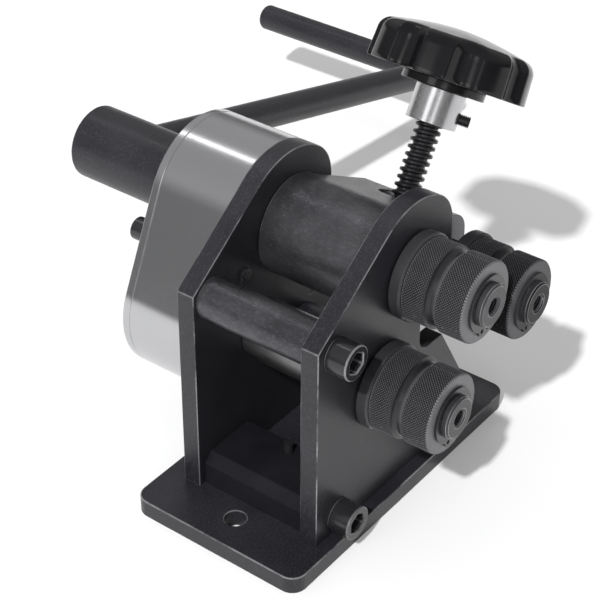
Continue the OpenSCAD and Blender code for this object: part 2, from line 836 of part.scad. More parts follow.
// Plain rear flange of a roller
module roller_flange(at, bore) {
    color("#2a2b2f") turned(at)
        wheel_outline(flange_d / 2, bore, ring_y, flange_y, roller_chamfer);
}

// Ring of a roller: knurled part, then a neck with a hollow that leads up to it
module roller_ring(at, bore) {
    r = ring_d / 2;
    c = roller_chamfer / 2;
    color("#2f3035") turned(at) difference() {
        polygon([[bore / 2, disc_y], [r - groove_depth, disc_y],
            [r - groove_depth, groove_y - groove_depth], [r, groove_y - groove_depth],
            [r, ring_y - c], [r - c, ring_y], [bore / 2, ring_y]]);
        translate([r, groove_y - groove_depth]) circle(groove_depth);
    }
}

// Knurled front disc of a roller
module roller_disc(at, bore) {
    color("#2f3035") turned(at)
        wheel_outline(disc_d / 2, bore, face_y, disc_y, roller_chamfer);
}

module keyed(at) {
    difference() {
        children();
        key_room(at, face_y - 1, flange_y - face_y + 2);
    }
}

module roller_a_flange() { keyed(upper) roller_flange(upper, seat_bore); }
module roller_a_ring() { keyed(upper) roller_ring(upper, seat_bore); }
module roller_a_disc() { keyed(upper) roller_disc(upper, seat_bore); }
module roller_b_flange() { keyed(lower) roller_flange(lower, seat_bore); }
module roller_b_ring() { keyed(lower) roller_ring(lower, seat_bore); }
module roller_b_disc() { keyed(lower) roller_disc(lower, seat_bore); }

module roller_c_flange() { roller_flange(third, idle_bore); }
module roller_c_ring() { roller_ring(third, idle_bore); }
module roller_c_disc() { roller_disc(third, idle_bore); }

module roller_c_bush() {
    color("#a9824a") bush(third, face_y, flange_y - face_y, idle_bush_d, bush_bore);
}

// Retaining ring in front of a roller, open at the bottom between two drilled lugs
module retaining_ring(at) {
    inner = shaft_r - clip_groove + seat_clr;
    lug_r = 2.6;
    lug_hole_r = 1;
    lug_x = 3.6;
    lug_y = -inner - 3.4;
    gap = 2.4;
    color("#232428") along_y(face_y - clip_thk - 0.05, clip_thk) translate(at) difference() {
        union() {
            circle(d = clip_d);
            for (side = [-1, 1]) translate([side * lug_x, lug_y]) circle(lug_r);
        }
        circle(inner);
        translate([-gap / 2, -clip_d]) square([gap, clip_d]);
        for (side = [-1, 1]) translate([side * lug_x, lug_y]) circle(lug_hole_r);
    }
}

module retaining_ring_a() { retaining_ring(upper); }
module retaining_ring_b() { retaining_ring(lower); }
module retaining_ring_c() { retaining_ring(third); }

// Tube on the lower shaft that keeps the plates' bushes apart
module spacer_tube() {
    color("#9a9b9e") bush(lower, arm_front, arm_back - arm_front, spacer_d, seat_bore);
}

// Crank hub: bored for the shaft, cross bored for the arm
module crank_hub() {
    color("#303136") difference() {
        turned(upper) wheel_outline(crank_hub_d / 2, 0, crank_hub_y, crank_end_y, 1);
        rod_y(upper, crank_hub_y - 1, shaft_back - crank_hub_y + 1.5, seat_bore);
        crank_direction() translate([-crank_arm_seat - 0.2, 0, 0]) rotate([0, 90, 0])
            cylinder(h = crank_hub_d + crank_arm_seat, d = crank_arm_d + 2 * seat_clr);
        hub_screw_below(set_screw_d + 2 * seat_clr, crank_hub_d);
        hub_screw_behind(set_screw_d + 2 * seat_clr, crank_hub_d);
    }
}

// Frame of the crank arm: x runs along the arm
module crank_direction() {
    translate([upper.x, crank_arm_y, upper.y]) rotate([0, -crank_angle, 0]) children();
}

// Set screw that bears on the shaft from below
module hub_screw_below(d, len) {
    translate([upper.x, crank_hub_y + 22, upper.y - shaft_r - seat_clr]) rotate([180, 0, 0])
        cylinder(h = len, d = d);
}

// Set screw that bears on the arm from behind
module hub_screw_behind(d, len) {
    rod_y(upper, crank_arm_y + crank_arm_d / 2 + seat_clr, len, d);
}

module crank_set_screws() {
    color("#1c1d20") difference() {
        hub_screw_below(set_screw_d, 8);
        translate([upper.x, crank_hub_y + 22, upper.y - crank_hub_d / 2 - 1])
            cylinder(h = 5, d = set_screw_d / 2, $fn = 6);
    }
    color("#1c1d20") difference() {
        hub_screw_behind(set_screw_d, 7);
        translate([upper.x, crank_end_y + 1, upper.y]) rotate([90, 0, 0])
            cylinder(h = 6, d = set_screw_d / 2, $fn = 6);
    }
}

// Round crank arm, with a spot face and a hole for the handle
module crank_arm() {
    len = crank_arm_seat + crank_reach + crank_arm_past;
    color("#303136") crank_direction() difference() {
        translate([-crank_arm_seat, 0, 0]) rotate([0, 90, 0]) union() {
            translate([0, 0, 1]) cylinder(h = len - 2, d = crank_arm_d);
            cylinder(h = 1, d1 = crank_arm_d - 2, d2 = crank_arm_d);
            translate([0, 0, len - 1]) cylinder(h = 1, d1 = crank_arm_d, d2 = crank_arm_d - 2);
        }
        translate([crank_reach, crank_arm_d / 2 - handle_flat, 0]) rotate([-90, 0, 0])
            cylinder(h = crank_arm_d, d = handle_d + 0.6);
        translate([crank_reach, -crank_arm_d, 0]) rotate([-90, 0, 0])
            cylinder(h = 2 * crank_arm_d, d = handle_stem_d + 2 * seat_clr);
    }
}

// Handle bar with a rounded end and a stem through the arm
module crank_handle() {
    r = handle_d / 2;
    round_r = 3;
    seat = crank_arm_d / 2 - handle_flat;
    tip = [r - round_r, handle_len - round_r];
    color("#303136") crank_direction() translate([crank_reach, 0, 0]) rotate([-90, 0, 0])
        rotate_extrude() {
            polygon([[0, -seat], [handle_stem_d / 2, -seat], [handle_stem_d / 2, seat],
                [r, seat], [r, tip.y], tip, [tip.x, handle_len], [0, handle_len]]);
            intersection() {
                translate(tip) circle(round_r);
                translate(tip) square(round_r);
            }
        }
}

// Swing arm: a hub on the upper shaft and a fork with two cheeks
module swing_arm() {
    hub_r = arm_hub_d / 2;
    end_r = arm_end_d / 2;
    corner_r = arm_corner_d / 2;
    cheek_w = cheek_back - arm_front;
    color("#2c2d32") difference() {
        union() {
            link_y(arm_front, cheek_w, upper, hub_r, arm_corner, corner_r);
            link_y(arm_front, cheek_w, upper, hub_r, third, end_r);
            link_y(arm_front, cheek_w, arm_corner, corner_r, third, end_r);
            rod_y(upper, cheek_back - 1, arm_rear_step + 1, arm_hub_d);
        }
        rod_y(upper, arm_front - 1, arm_back - arm_front + 2, bush_d + 2 * seat_clr);
        rod_y(third, arm_front - 1, stud_seat_len + 1, seat_bore);
        on_spindle(0) fork_room();
        nut_guides();
    }
}

// Slot between the cheeks, round at its closed end
module fork_room() {
    x0 = fork_end + fork_w / 2 - spindle_offset;
    translate([0, 0, -arm_cut_len]) linear_extrude(2 * arm_cut_len) {
        translate([x0, 0]) circle(d = fork_w);
        translate([x0, -fork_w / 2]) square([arm_cut_len, fork_w]);
    }
}

// Guides in the cheeks for the nut's pins, open towards the arm's end
module nut_guides() {
    half = nut_pin_d / 2 + guide_play;
    deep = fork_w / 2 + guide_depth;
    reach0 = spindle_offset - 0.4;
    translate([upper.x, mid_y, upper.y]) rotate([0, -nut_angle, 0]) {
        translate([reach0, deep, 0]) rotate([90, 0, 0]) cylinder(h = 2 * deep, r = half);
        translate([reach0, -deep, -half]) cube([arm_cut_len, 2 * deep, 2 * half]);
    }
}

// Bushes in the swing arm's hub
module arm_bushes() {
    for (y = [arm_front, arm_back - arm_bush_len])
        color("#a9824a") bush(upper, y, arm_bush_len, bush_d, bush_bore);
}

// Stud of the third roller, seated in the front cheek
module third_stud() {
    seat_y = arm_front + stud_seat_len - 0.2;
    collar_front = flange_y + side_clr / 2;
    color("#45464b") difference() {
        union() {
            turned(third) shaft_outline(seat_y);
            rod_y(third, collar_front, arm_front - collar_front, stud_collar_d);
        }
        end_hole(third);
    }
}

// Round nut on the spindle with two pins that push the swing arm
module spindle_nut() {
    at = spindle_point(nut_rest);
    body_w = fork_w - 0.6;
    pins_w = fork_w + 2 * nut_pin_len;
    color("#45464b") difference() {
        union() {
            rod_y(at, mid_y - body_w / 2, body_w, nut_d);
            rod_y(at, mid_y - pins_w / 2, pins_w, nut_pin_d);
        }
        on_spindle(nut_rest - nut_d) cylinder(h = 2 * nut_d, d = spindle_d + 2 * run_clr);
    }
}

// Screw spindle: journal below, threaded length, then the stem for the knob
module spindle() {
    low = spindle_ring_z - spindle_ring_thk - 4;
    r = spindle_d / 2;
    j = journal_d / 2;
    g = j - 0.5;
    color("#1b1c1f") on_spindle(0) rotate_extrude() polygon([[0, low], [j - 1, low],
        [j, low + 1], [j, spindle_ring_z - spindle_ring_thk], [g, spindle_ring_z - spindle_ring_thk],
        [g, spindle_ring_z], [j, spindle_ring_z], [j, spindle_seat_z], [r, spindle_seat_z],
        [r, knob_flange_z], [stem_d / 2, knob_flange_z], [stem_d / 2, stem_top],
        [0, stem_top]]);
}

// Washer between the spindle's shoulder and the anchor bar
module thrust_washer() {
    color("#a9824a") on_spindle(spindle_seat_z - thrust_washer_thk) difference() {
        cylinder(h = thrust_washer_thk, d = spindle_d + 5);
        translate([0, 0, -1])
            cylinder(h = thrust_washer_thk + 2, d = journal_d + 2 * run_clr);
    }
}

// Retaining ring under the anchor bar
module spindle_ring() {
    color("#232428") on_spindle(spindle_ring_z - spindle_ring_thk) linear_extrude(spindle_ring_thk)
        difference() {
            circle(d = journal_d + 6);
            circle(d = journal_d - 1 + 2 * seat_clr);
            translate([0, -1.5]) square([journal_d, 3]);
        }
}

// Clamping collar under the knob
module clamp_collar() {
    color("#c9cbce") difference() {
        on_spindle(collar_z) cylinder(h = collar_len, d = collar_d);
        on_spindle(collar_z - 1) cylinder(h = collar_len + 2, d = spindle_d + 2 * seat_clr);
        grub_place() cylinder(h = collar_d, d = grub_d + 2 * seat_clr);
    }
}

// Frame of the grub screw, whose z runs out of the collar
module grub_place() {
    on_spindle(grub_z) rotate([0, 0, grub_turn]) rotate([0, 90, 0]) children();
}

module grub_screw() {
    start = spindle_d / 2 + seat_clr;
    len = collar_d / 2 + grub_proud - start;
    color("#1c1d20") grub_place() difference() {
        translate([0, 0, start]) cylinder(h = len, d = grub_d);
        translate([0, 0, start + len - 3]) cylinder(h = 4, d = grub_d / 2, $fn = 6);
    }
}

// Flange between the collar and the knob
module knob_flange() {
    color("#141519") on_spindle(knob_flange_z) difference() {
        cylinder(h = knob_flange_thk, d = knob_flange_d);
        translate([0, 0, -1]) cylinder(h = knob_flange_thk + 2, d = stem_d + 2 * seat_clr);
    }
}

// Outline of the knob seen from above: lobes between round flutes
module knob_lobe_outline() {
    flute_at = knob_d / 2 + flute_r - flute_depth;
    difference() {
        circle(d = knob_d);
        for (i = [0:knob_lobes - 1]) rotate(knob_turn + i * 360 / knob_lobes)
            translate([flute_at, 0]) circle(flute_r);
    }
}

// Domed star knob with a round hollow below and a hub in its middle
module star_knob() {
    r = knob_d / 2;
    edge_r = 6;
    dome_r = (r * r + pow(knob_crown_h - knob_rim_h + edge_r, 2))
        / 2 / (knob_crown_h - knob_rim_h + edge_r);
    color("#0e0f12") on_spindle(knob_z) difference() {
        intersection() {
            linear_extrude(knob_crown_h) knob_lobe_outline();
            translate([0, 0, knob_crown_h - dome_r]) sphere(dome_r);
        }
        difference() {
            translate([0, 0, -1])
                cylinder(h = knob_hollow + 1, r = r - flute_depth - knob_wall);
            cylinder(h = knob_crown_h, d = knob_hub_d);
        }
        translate([0, 0, -1])
            cylinder(h = stem_top - knob_z + 2, d = stem_d + 2 * seat_clr);
    }
}

base_plate();
front_plate();
rear_plate();
upper_tie_rod();
lower_tie_block();
front_tie_screws();
rear_tie_screws();
base_screws();
block_screw();
front_bushes();
rear_bushes();
cover_bushes();
gear_housing();
housing_cover();
housing_screws();
housing_washers();
anchor_bar();
drive_shaft();
drive_gear();
drive_gear_key();
roller_a_key();
roller_a_flange();
roller_a_ring();
roller_a_disc();
retaining_ring_a();
crank_hub();
crank_arm();
crank_handle();
crank_set_screws();
driven_shaft();
driven_gear();
driven_gear_key();
roller_b_key();
spacer_tube();
roller_b_flange();
roller_b_ring();
roller_b_disc();
retaining_ring_b();
swing_arm();
arm_bushes();
third_stud();
retaining_ring_c();
roller_c_bush();
roller_c_flange();
roller_c_ring();
roller_c_disc();
spindle_nut();
spindle();
thrust_washer();
spindle_ring();
clamp_collar();
grub_screw();
knob_flange();
star_knob();
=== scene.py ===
import json
import math

import bmesh
import bpy
from mathutils import Matrix, Vector


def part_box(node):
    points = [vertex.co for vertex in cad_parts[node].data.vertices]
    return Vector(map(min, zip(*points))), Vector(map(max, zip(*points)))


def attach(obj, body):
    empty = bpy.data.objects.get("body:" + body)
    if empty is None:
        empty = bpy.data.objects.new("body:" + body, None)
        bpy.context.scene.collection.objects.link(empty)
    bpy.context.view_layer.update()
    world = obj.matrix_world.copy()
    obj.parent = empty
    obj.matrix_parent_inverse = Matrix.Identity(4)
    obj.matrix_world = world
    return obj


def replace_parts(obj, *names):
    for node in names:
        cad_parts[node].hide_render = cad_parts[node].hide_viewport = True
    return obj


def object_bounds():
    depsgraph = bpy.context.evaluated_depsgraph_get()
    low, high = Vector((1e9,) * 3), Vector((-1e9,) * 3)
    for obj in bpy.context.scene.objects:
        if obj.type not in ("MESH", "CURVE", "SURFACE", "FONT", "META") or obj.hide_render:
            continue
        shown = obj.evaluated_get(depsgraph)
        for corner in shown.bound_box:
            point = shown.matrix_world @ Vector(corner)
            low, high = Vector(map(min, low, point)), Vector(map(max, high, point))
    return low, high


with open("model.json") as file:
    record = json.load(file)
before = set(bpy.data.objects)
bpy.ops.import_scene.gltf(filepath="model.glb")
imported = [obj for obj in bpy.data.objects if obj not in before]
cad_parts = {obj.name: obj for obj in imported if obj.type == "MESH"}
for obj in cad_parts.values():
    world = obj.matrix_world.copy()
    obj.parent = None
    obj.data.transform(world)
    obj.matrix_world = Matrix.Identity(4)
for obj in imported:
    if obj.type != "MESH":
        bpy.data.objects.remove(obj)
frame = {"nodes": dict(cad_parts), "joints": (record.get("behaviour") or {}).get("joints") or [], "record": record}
CAD_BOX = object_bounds()
NODES = frame["nodes"]
BODIES = frame["record"]["behaviour"]["bodies"]
BODY_OF = {node: body for body, nodes in BODIES.items() for node in nodes}
SLOT_OF = {p["node"]: p["material_slot"] for p in frame["record"]["subparts"]}
MM = 0.001
# Room between a new piece's face and the face it would lie on
PLAY = 0.02 * MM


# Places, read from the frame

def middle(node):
    """The middle of a node's box."""
    low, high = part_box(node)
    return (low + high) / 2


UPPER = middle("roller_a_disc")
LOWER = middle("roller_b_disc")
THIRD = middle("roller_c_disc")
HAND_JOINT = next(j for j in frame["joints"] if j["name"] == "hand_screw_turn")
HAND_AXIS = Vector(HAND_JOINT["axis"])
HAND_POINT = Vector(HAND_JOINT["pos_m"])


# Materials

class Shader:
    """A node material that is built up call by call."""

    def __init__(self, name):
        self.material = bpy.data.materials.new(name)
        self.material.use_nodes = True
        self.tree = self.material.node_tree
        self.tree.nodes.clear()
        self.surface = self.node("ShaderNodeBsdfPrincipled")
        self.output = self.node("ShaderNodeOutputMaterial")
        self.link(self.surface.outputs["BSDF"], self.output.inputs["Surface"])

    def node(self, kind, **settings):
        made = self.tree.nodes.new(kind)
        for key, value in settings.items():
            setattr(made, key, value)
        return made

    def link(self, source, target):
        self.tree.links.new(source, target)

    def set(self, **values):
        for key, value in values.items():
            self.surface.inputs[key.replace("_", " ")].default_value = value

    def place(self, scale=(1, 1, 1)):
        """Object coordinates, in metres, with a scale."""
        coordinates = self.node("ShaderNodeTexCoord")
        mapping = self.node("ShaderNodeMapping")
        mapping.inputs["Scale"].default_value = scale
        self.link(coordinates.outputs["Object"], mapping.inputs["Vector"])
        return mapping.outputs["Vector"]

    def noise(self, place, scale, detail=3, rough=0.55):
        made = self.node("ShaderNodeTexNoise")
        made.inputs["Scale"].default_value = scale
        made.inputs["Detail"].default_value = detail
        made.inputs["Roughness"].default_value = rough
        self.link(place, made.inputs["Vector"])
        return made.outputs["Fac"]

    def range(self, source, low, high, to_low=0.0, to_high=1.0):
        """A number moved from one range to another, and held inside it."""
        made = self.node("ShaderNodeMapRange")
        for key, value in (("From Min", low), ("From Max", high), ("To Min", to_low), ("To Max", to_high)):
            made.inputs[key].default_value = value
        self.link(source, made.inputs["Value"])
        return made.outputs["Result"]

    def mix(self, share, a, b):
        """Colour a where share is 0 and b where it is 1. Each is a value or a socket."""
        made = self.node("ShaderNodeMix", data_type="RGBA")
        for value, socket in ((share, made.inputs[0]), (a, made.inputs[6]), (b, made.inputs[7])):
            if isinstance(value, (tuple, float, int)):
                socket.default_value = (*value, 1) if isinstance(value, tuple) else value
            else:
                self.link(value, socket)
        return made.outputs[2]

    def add(self, a, b, how="ADD"):
        """Two numbers joined by a Math node."""
        made = self.node("ShaderNodeMath", operation=how, use_clamp=how == "MULTIPLY")
        for value, socket in ((a, made.inputs[0]), (b, made.inputs[1])):
            if isinstance(value, (float, int)):
                socket.default_value = value
            else:
                self.link(value, socket)
        return made.outputs[0]

    def bump(self, height, strength, distance):
        made = self.node("ShaderNodeBump")
        made.inputs["Strength"].default_value = strength
        made.inputs["Distance"].default_value = distance
        self.link(height, made.inputs["Height"])
        self.link(made.outputs["Normal"], self.surface.inputs["Normal"])

    def colour(self, source):
        self.link(source, self.surface.inputs["Base Color"])

    def rough(self, source):
        self.link(source, self.surface.inputs["Roughness"])


def blackened_steel(name, dark, light, rough, grain=(1, 1, 1), grit=0.25, metal=0.0, tips=0.0, fleck=0.0,
                    shine=0.42):
    """Chemically blackened steel: cloudy dark coat, fine grain and small paler scuffs.
    tips paints a highlight on the knurl's points and painted shade, near-black, in its grooves; fleck brightens
    the grain's high spots."""
    s = Shader(name)
    s.set(Metallic=metal, Specular_IOR_Level=shine)
    cloud = s.noise(s.place(), 34, 5)
    fine = s.noise(s.place(grain), 1500, 3, 0.6)
    scuffs = s.range(s.noise(s.place(), 170, 8, 0.8), 0.6, 0.82)
    coat = s.mix(s.range(cloud, 0.35, 0.7), dark, light)
    coat = s.mix(s.add(scuffs, 0.35, "MULTIPLY"), coat, tuple(min(1.0, 3.2 * c) for c in light))
    if fleck:
        spots = s.range(s.noise(s.place(grain), 1000, 2, 0.6), 0.5, 0.72, 0.0, fleck)
        coat = s.mix(spots, coat, tuple(min(1.0, 3.5 * c) for c in light))
    # Painted shade: the knurl's grooves turn near-black. Painted highlight: its points turn pale grey, by the
    # share that tips gives.
    if tips:
        point = s.node("ShaderNodeNewGeometry").outputs["Pointiness"]
        coat = s.mix(s.range(point, 0.4, 0.5), (0.001, 0.001, 0.0012), coat)
        painted_tip_highlight = s.range(point, 0.51, 0.6, 0.0, tips)
        coat = s.mix(painted_tip_highlight, coat, (0.2, 0.2, 0.21))
    s.colour(coat)
    s.rough(s.add(s.range(fine, 0.3, 0.7, rough - 0.06, rough + 0.06), s.range(cloud, 0.3, 0.7, -0.04, 0.06)))
    s.bump(fine, grit, 0.0001)
    return s.material


def worn_edge(name, dark, bright):
    """Blackened steel whose coat is rubbed off in places, for the rounded edges."""
    s = Shader(name)
    s.set(Specular_IOR_Level=0.6)
    rubbed = s.range(s.noise(s.place(), 46, 4, 0.6), 0.4, 0.58)
    fine = s.noise(s.place(), 900, 3)
    share = s.add(rubbed, s.range(fine, 0.3, 0.7, 0.5, 1.0), "MULTIPLY")
    s.colour(s.mix(share, dark, bright))
    s.link(s.range(share, 0.0, 1.0, 0.0, 0.85), s.surface.inputs["Metallic"])
    s.rough(s.range(fine, 0.3, 0.7, 0.26, 0.4))
    return s.material


def turned_metal(name, colour, shade, rough, lines=(1, 1, 1), strength=0.15, uneven=0.04):
    """Bare metal with fine turning or brushing lines."""
    s = Shader(name)
    s.set(Metallic=1.0)
    brushed = s.noise(s.place(lines), 900, 4, 0.65)
    cloud = s.noise(s.place(), 28, 3)
    tone = s.add(s.range(brushed, 0.3, 0.7, 0, 0.4), s.range(cloud, 0.3, 0.7, 0, 0.6))
    s.colour(s.mix(tone, shade, colour))
    s.rough(s.range(brushed, 0.3, 0.7, rough - uneven, rough + uneven))
    s.bump(brushed, strength, 0.00003)
    return s.material


def moulded_plastic(name, colour, rough):
    """Glossy moulded plastic with faint flow and dust."""
    s = Shader(name)
    s.set(Specular_IOR_Level=0.38)
    cloud = s.noise(s.place(), 60, 4)
    s.colour(s.mix(s.range(cloud, 0.35, 0.7), colour, tuple(c * 1.5 for c in colour)))
    s.rough(s.range(cloud, 0.3, 0.7, rough - 0.03, rough + 0.05))
    s.bump(s.noise(s.place(), 420, 2), 0.03, 0.0001)
    return s.material


MATERIALS = {
    "black_steel": blackened_steel("blackened_plate", (0.0125, 0.0122, 0.0155), (0.0205, 0.02, 0.0245), 0.37,
                                   grit=0.4, fleck=0.35),
    "brushed_black": blackened_steel("blackened_bar", (0.06, 0.059, 0.066), (0.115, 0.114, 0.124), 0.33,
                                     (1, 0.4, 1), 0.8, 0.75, fleck=0.12),
    # tips paints a highlight on the knurl's points and shade in its grooves
    "roller_steel": blackened_steel("blackened_roller", (0.015, 0.0147, 0.0172),
                                    (0.025, 0.0245, 0.028), 0.36, tips=0.8),
    # A darker, less shiny copy of blackened steel for the block between the plates: painted shade.
    "tie_block_painted_shade": blackened_steel("blackened_block_painted_shade", (0.0085, 0.0083, 0.0105),
                                    (0.0145, 0.0142, 0.0172), 0.45, grit=0.4, shine=0.12),
    # A darker, less shiny copy of the roller steel for the third roller: painted shade, with the same painted
    # knurl highlight and groove shade.
    "third_roller_painted_shade": blackened_steel("blackened_roller_painted_shade", (0.0065, 0.0063, 0.0078),
                                  (0.011, 0.0108, 0.0128), 0.4, tips=0.5, shine=0.14),
    "shaft_steel": blackened_steel("blackened_shaft", (0.024, 0.0237, 0.027), (0.04, 0.0395, 0.0445), 0.32),
    "black_screws": blackened_steel("blackened_screw", (0.011, 0.011, 0.013), (0.02, 0.02, 0.0225), 0.22,
                                    shine=0.6),
    "spindle_steel": blackened_steel("blackened_spindle", (0.008, 0.008, 0.0092),
                                     (0.014, 0.014, 0.0158), 0.28),
    "worn_edge": worn_edge("rubbed_edge", (0.024, 0.024, 0.027), (0.34, 0.34, 0.35)),
    "bare_steel": turned_metal("bare_steel", (0.3, 0.3, 0.305), (0.2, 0.2, 0.205), 0.38, (1, 0.06, 1)),
    "bronze": turned_metal("bronze", (0.5, 0.33, 0.15), (0.36, 0.22, 0.1), 0.35),
    "housing_metal": turned_metal("satin_housing", (0.53, 0.53, 0.545), (0.5, 0.5, 0.515), 0.2, (1, 0.3, 1),
                                  0.004, 0.008),
    "collar_metal": turned_metal("turned_collar", (0.62, 0.62, 0.63), (0.42, 0.42, 0.43), 0.24, (1, 1, 0.05)),
    "black_plastic": moulded_plastic("glossy_plastic", (0.0022, 0.0021, 0.003), 0.16),
}


# Shapes

def finish_piece(name, mesh, body, slot_name, smooth_angle=35, look=None):
    """A new piece in the row frame, with its material, that rides on a body."""
    piece = bpy.data.objects.new(name, mesh)
    bpy.context.scene.collection.objects.link(piece)
    mesh.materials.append(MATERIALS[look or slot_name])
    mesh.polygons.foreach_set("use_smooth", [True] * len(mesh.polygons))
    mesh.set_sharp_from_angle(angle=math.radians(smooth_angle))
    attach(piece, body)
    return piece


def mesh_of(name, make, matrix):
    """A mesh that make(bm) fills in its own frame, moved by matrix to the row frame."""
    bm = bmesh.new()
    make(bm)
    bmesh.ops.remove_doubles(bm, verts=bm.verts, dist=1e-7)
    bmesh.ops.recalc_face_normals(bm, faces=bm.faces)
    bm.transform(matrix)
    mesh = bpy.data.meshes.new(name)
    bm.to_mesh(mesh)
    bm.free()
    return mesh


def grid(bm, rows, closed=True):
    """Faces between rows of points. Each row goes round once if closed."""
    made = [[bm.verts.new(p) for p in row] for row in rows]
    for below, above in zip(made, made[1:]):
        count = len(below)
        for i in range(count if closed else count - 1):
            j = (i + 1) % count
            bm.faces.new((below[i], below[j], above[j], above[i]))
    return made


def lathe(bm, profile, steps, radius_at=None):
    """A surface turned about Z from (radius, z) points. radius_at changes the radius at an angle."""
    turns = [2 * math.pi * i / steps for i in range(steps)]
    rows = []
    for radius, z in profile:
        row = []
        for angle in turns:
            r = radius_at(radius, z, angle) if radius_at else radius
            row.append((r * math.cos(angle), r * math.sin(angle), z))
        rows.append(row)
    return grid(bm, rows)


def along_y(centre, y=0.0):
    """A frame whose Z runs along +Y through a centre."""
    return Matrix.Translation((centre.x, y, centre.z)) @ Matrix.Rotation(math.radians(-90), 4, "X")


def axes_frame(origin, x_axis, y_axis, z_axis):
    """A frame with its origin at a point and three given axes."""
    return Matrix.Translation(origin) @ Matrix((x_axis, y_axis, z_axis)).transposed().to_4x4()


def spindle_frame():
    """The spindle's frame: Z runs up along it, Y is the row's, and X points away from the upper shaft."""
    across = Vector((0, 1, 0))
    return axes_frame(HAND_POINT, across.cross(HAND_AXIS), across, HAND_AXIS)


def along(matrix, node):
    """The lowest and highest Z of a node in a frame."""
    inverse = matrix.inverted()
    zs = [(inverse @ v.co).z for v in NODES[node].data.vertices]
    return min(zs), max(zs)


# Materials other than the slot's, by node: brushed_black is a paler brushed finish, and the other two are darker
# copies of blackened steel that paint shade.
FINISHES_AND_PAINTED_SHADE = {
    "brushed_black": ("upper_tie_rod", "swing_arm"),
    "tie_block_painted_shade": ("lower_tie_block",),
    "third_roller_painted_shade": ("roller_c_disc", "roller_c_ring", "roller_c_flange", "retaining_ring_c", "third_stud"),
}


def material_of(node):
    """The material that a node shows: its slot's, or the variant listed for it, which is a brushed finish or a
    darker copy that paints shade.
    """
    return next((name for name, nodes in FINISHES_AND_PAINTED_SHADE.items() if node in nodes), SLOT_OF[node])


# Knurled rollers

KNURL_PITCH = 1.5 * MM
KNURL_DEPTH = 0.48 * MM
KNURL_SAMPLES = 6
# How far the tips would stand above the cut, as a share of the depth
KNURL_CUT = 1.35


def knurl_height(angle, z, teeth):
    """0 in the grooves and 1 on the diamonds' tips, which are cut flat."""
    def wave(value):
        return 1 - abs(2 * (value - math.floor(value)) - 1)
    around = teeth * angle / (2 * math.pi)
    return min(1.0, KNURL_CUT * min(wave(around + z / KNURL_PITCH), wave(around - z / KNURL_PITCH)))


def knurled_piece(node, spans, bore, corner):
    """Replaces a roller's node: its profile, knurled between the two z of each span.
    spans is a list of (z, radius, knurled) stations from the node's front to its back,
    corner is the chamfer at both ends, and bore is the hole's radius."""
    low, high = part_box(node)
    centre = (low + high) / 2
    widest = max(r for _, r, _ in spans)
    teeth = round(2 * math.pi * widest / KNURL_PITCH)
    steps = teeth * KNURL_SAMPLES

    def radius_at(radius, z, angle):
        for (z0, _, on), (z1, _, _) in zip(spans, spans[1:]):
            if on and z0 + corner * 0.5 < z < z1 - corner * 0.5:
                return radius - KNURL_DEPTH * (1 - knurl_height(angle, z, teeth))
        return radius

    profile = [(bore, spans[0][0]), (spans[0][1] - corner, spans[0][0])]
    for (z0, r0, on), (z1, r1, _) in zip(spans, spans[1:]):
        count = max(2, round((z1 - z0) / (KNURL_PITCH / KNURL_SAMPLES))) if on else 1
        start = z0 + (corner if z0 == spans[0][0] else 0)
        stop = z1 - (corner if z1 == spans[-1][0] else 0)
        shares = [i / count for i in range(count + 1)]
        profile += [(r0 + (r1 - r0) * t, start + (stop - start) * t) for t in shares]
    profile += [(spans[-1][1] - corner, spans[-1][0]), (bore, spans[-1][0])]

    def make(bm):
        rows = lathe(bm, profile, steps, radius_at)
        for i in range(steps):
            j = (i + 1) % steps
            bm.faces.new((rows[-1][i], rows[-1][j], rows[0][j], rows[0][i]))

    mesh = mesh_of(node + "_knurled", make, along_y(centre))
    piece = finish_piece(node + "_knurled", mesh, BODY_OF[node], SLOT_OF[node], 40, material_of(node))
    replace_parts(piece, node)


GROOVE_WIDTH = 5.1 * MM
GROOVE_DEPTH = 2.6 * MM
DISC_CORNER = 0.8 * MM
RING_CORNER = 0.4 * MM
NECK_STEPS = 8


def rollers():
    """Each roller's knurled disc, and its ring with the neck that curves up to the knurled part."""
    for letter, bore_node in (("a", "drive_shaft"), ("b", "driven_shaft"), ("c", "roller_c_bush")):
        bore_low, bore_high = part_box(bore_node)
        bore = (bore_high.x - bore_low.x) / 2 + PLAY
        low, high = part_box(f"roller_{letter}_disc")
        radius = (high.x - low.x) / 2
        stations = [(low.y, radius, True), (high.y, radius, False)]
        knurled_piece(f"roller_{letter}_disc", stations, bore, DISC_CORNER)
        low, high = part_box(f"roller_{letter}_ring")
        radius = (high.x - low.x) / 2
        knurl_y = low.y + GROOVE_WIDTH
        stations = [(low.y, radius - GROOVE_DEPTH, False)]
        for k in range(NECK_STEPS):
            turn = math.radians(90 * k / NECK_STEPS)
            stations.append((knurl_y - GROOVE_DEPTH * (1 - math.sin(turn)),
                             radius - GROOVE_DEPTH * math.cos(turn), False))
        stations += [(knurl_y, radius, True), (high.y, radius, False)]
        knurled_piece(f"roller_{letter}_ring", stations, bore, RING_CORNER)


# Threads

# Shares of half a pitch: the flat root, and the flank up to the flat crest
THREAD_ROOT_SHARE = 0.28
THREAD_FLANK_SHARE = 0.42
# Depth of a hexagon socket as a share of its width
SOCKET_DEPTH = 0.8
# Pitch, radius at the root and radius at the crest of each thread
HOLE_THREAD = (1.5 * MM, 4.46 * MM, 3.86 * MM)
SPINDLE_THREAD = (4 * MM, 5 * MM, 6.95 * MM)
GRUB_THREAD = (1.0 * MM, 2.45 * MM, 2.97 * MM)
BLOCK_THREAD = (0.8 * MM, 2.05 * MM, 2.48 * MM)


